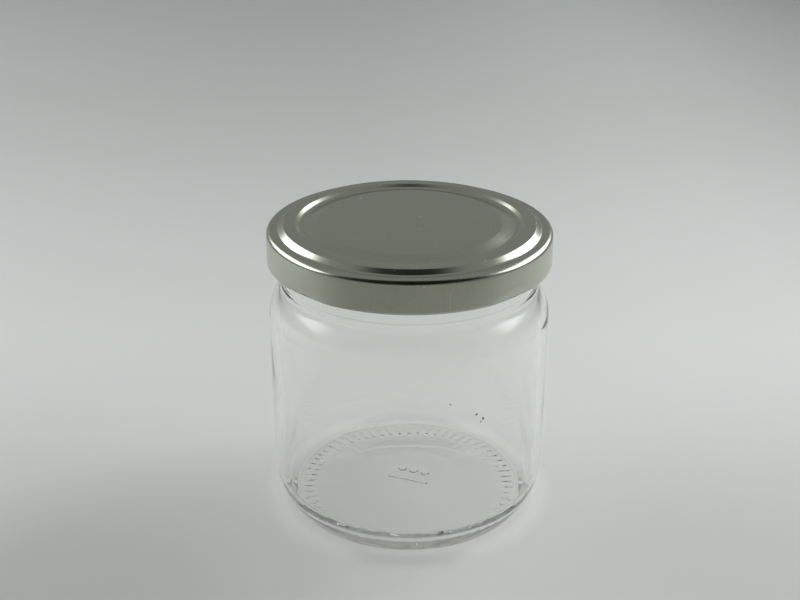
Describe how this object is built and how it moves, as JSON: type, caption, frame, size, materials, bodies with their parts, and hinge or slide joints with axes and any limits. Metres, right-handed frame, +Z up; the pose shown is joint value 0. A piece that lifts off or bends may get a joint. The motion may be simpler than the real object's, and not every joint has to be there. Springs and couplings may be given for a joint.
{
  "type": "canning jar",
  "caption": "Small round jar of clear glass with a rounded shoulder and heel, a ribbed bearing ring and a pressed metal twist lid.",
  "frame": {"origin": "middle of the underside, where the bearing ring stands on the table", "axes": "+Z up along the jar's axis, -Y towards the viewer"},
  "size_m": [0.0686, 0.0686, 0.0738],
  "materials": {
    "clear_glass": "smooth clear flint glass",
    "lid_metal": "satin tinplate under clear lacquer"
  },
  "bodies": {
    "root": {"glass_jar": "clear_glass", "twist_lid": "lid_metal"}
  },
  "joints": []
}
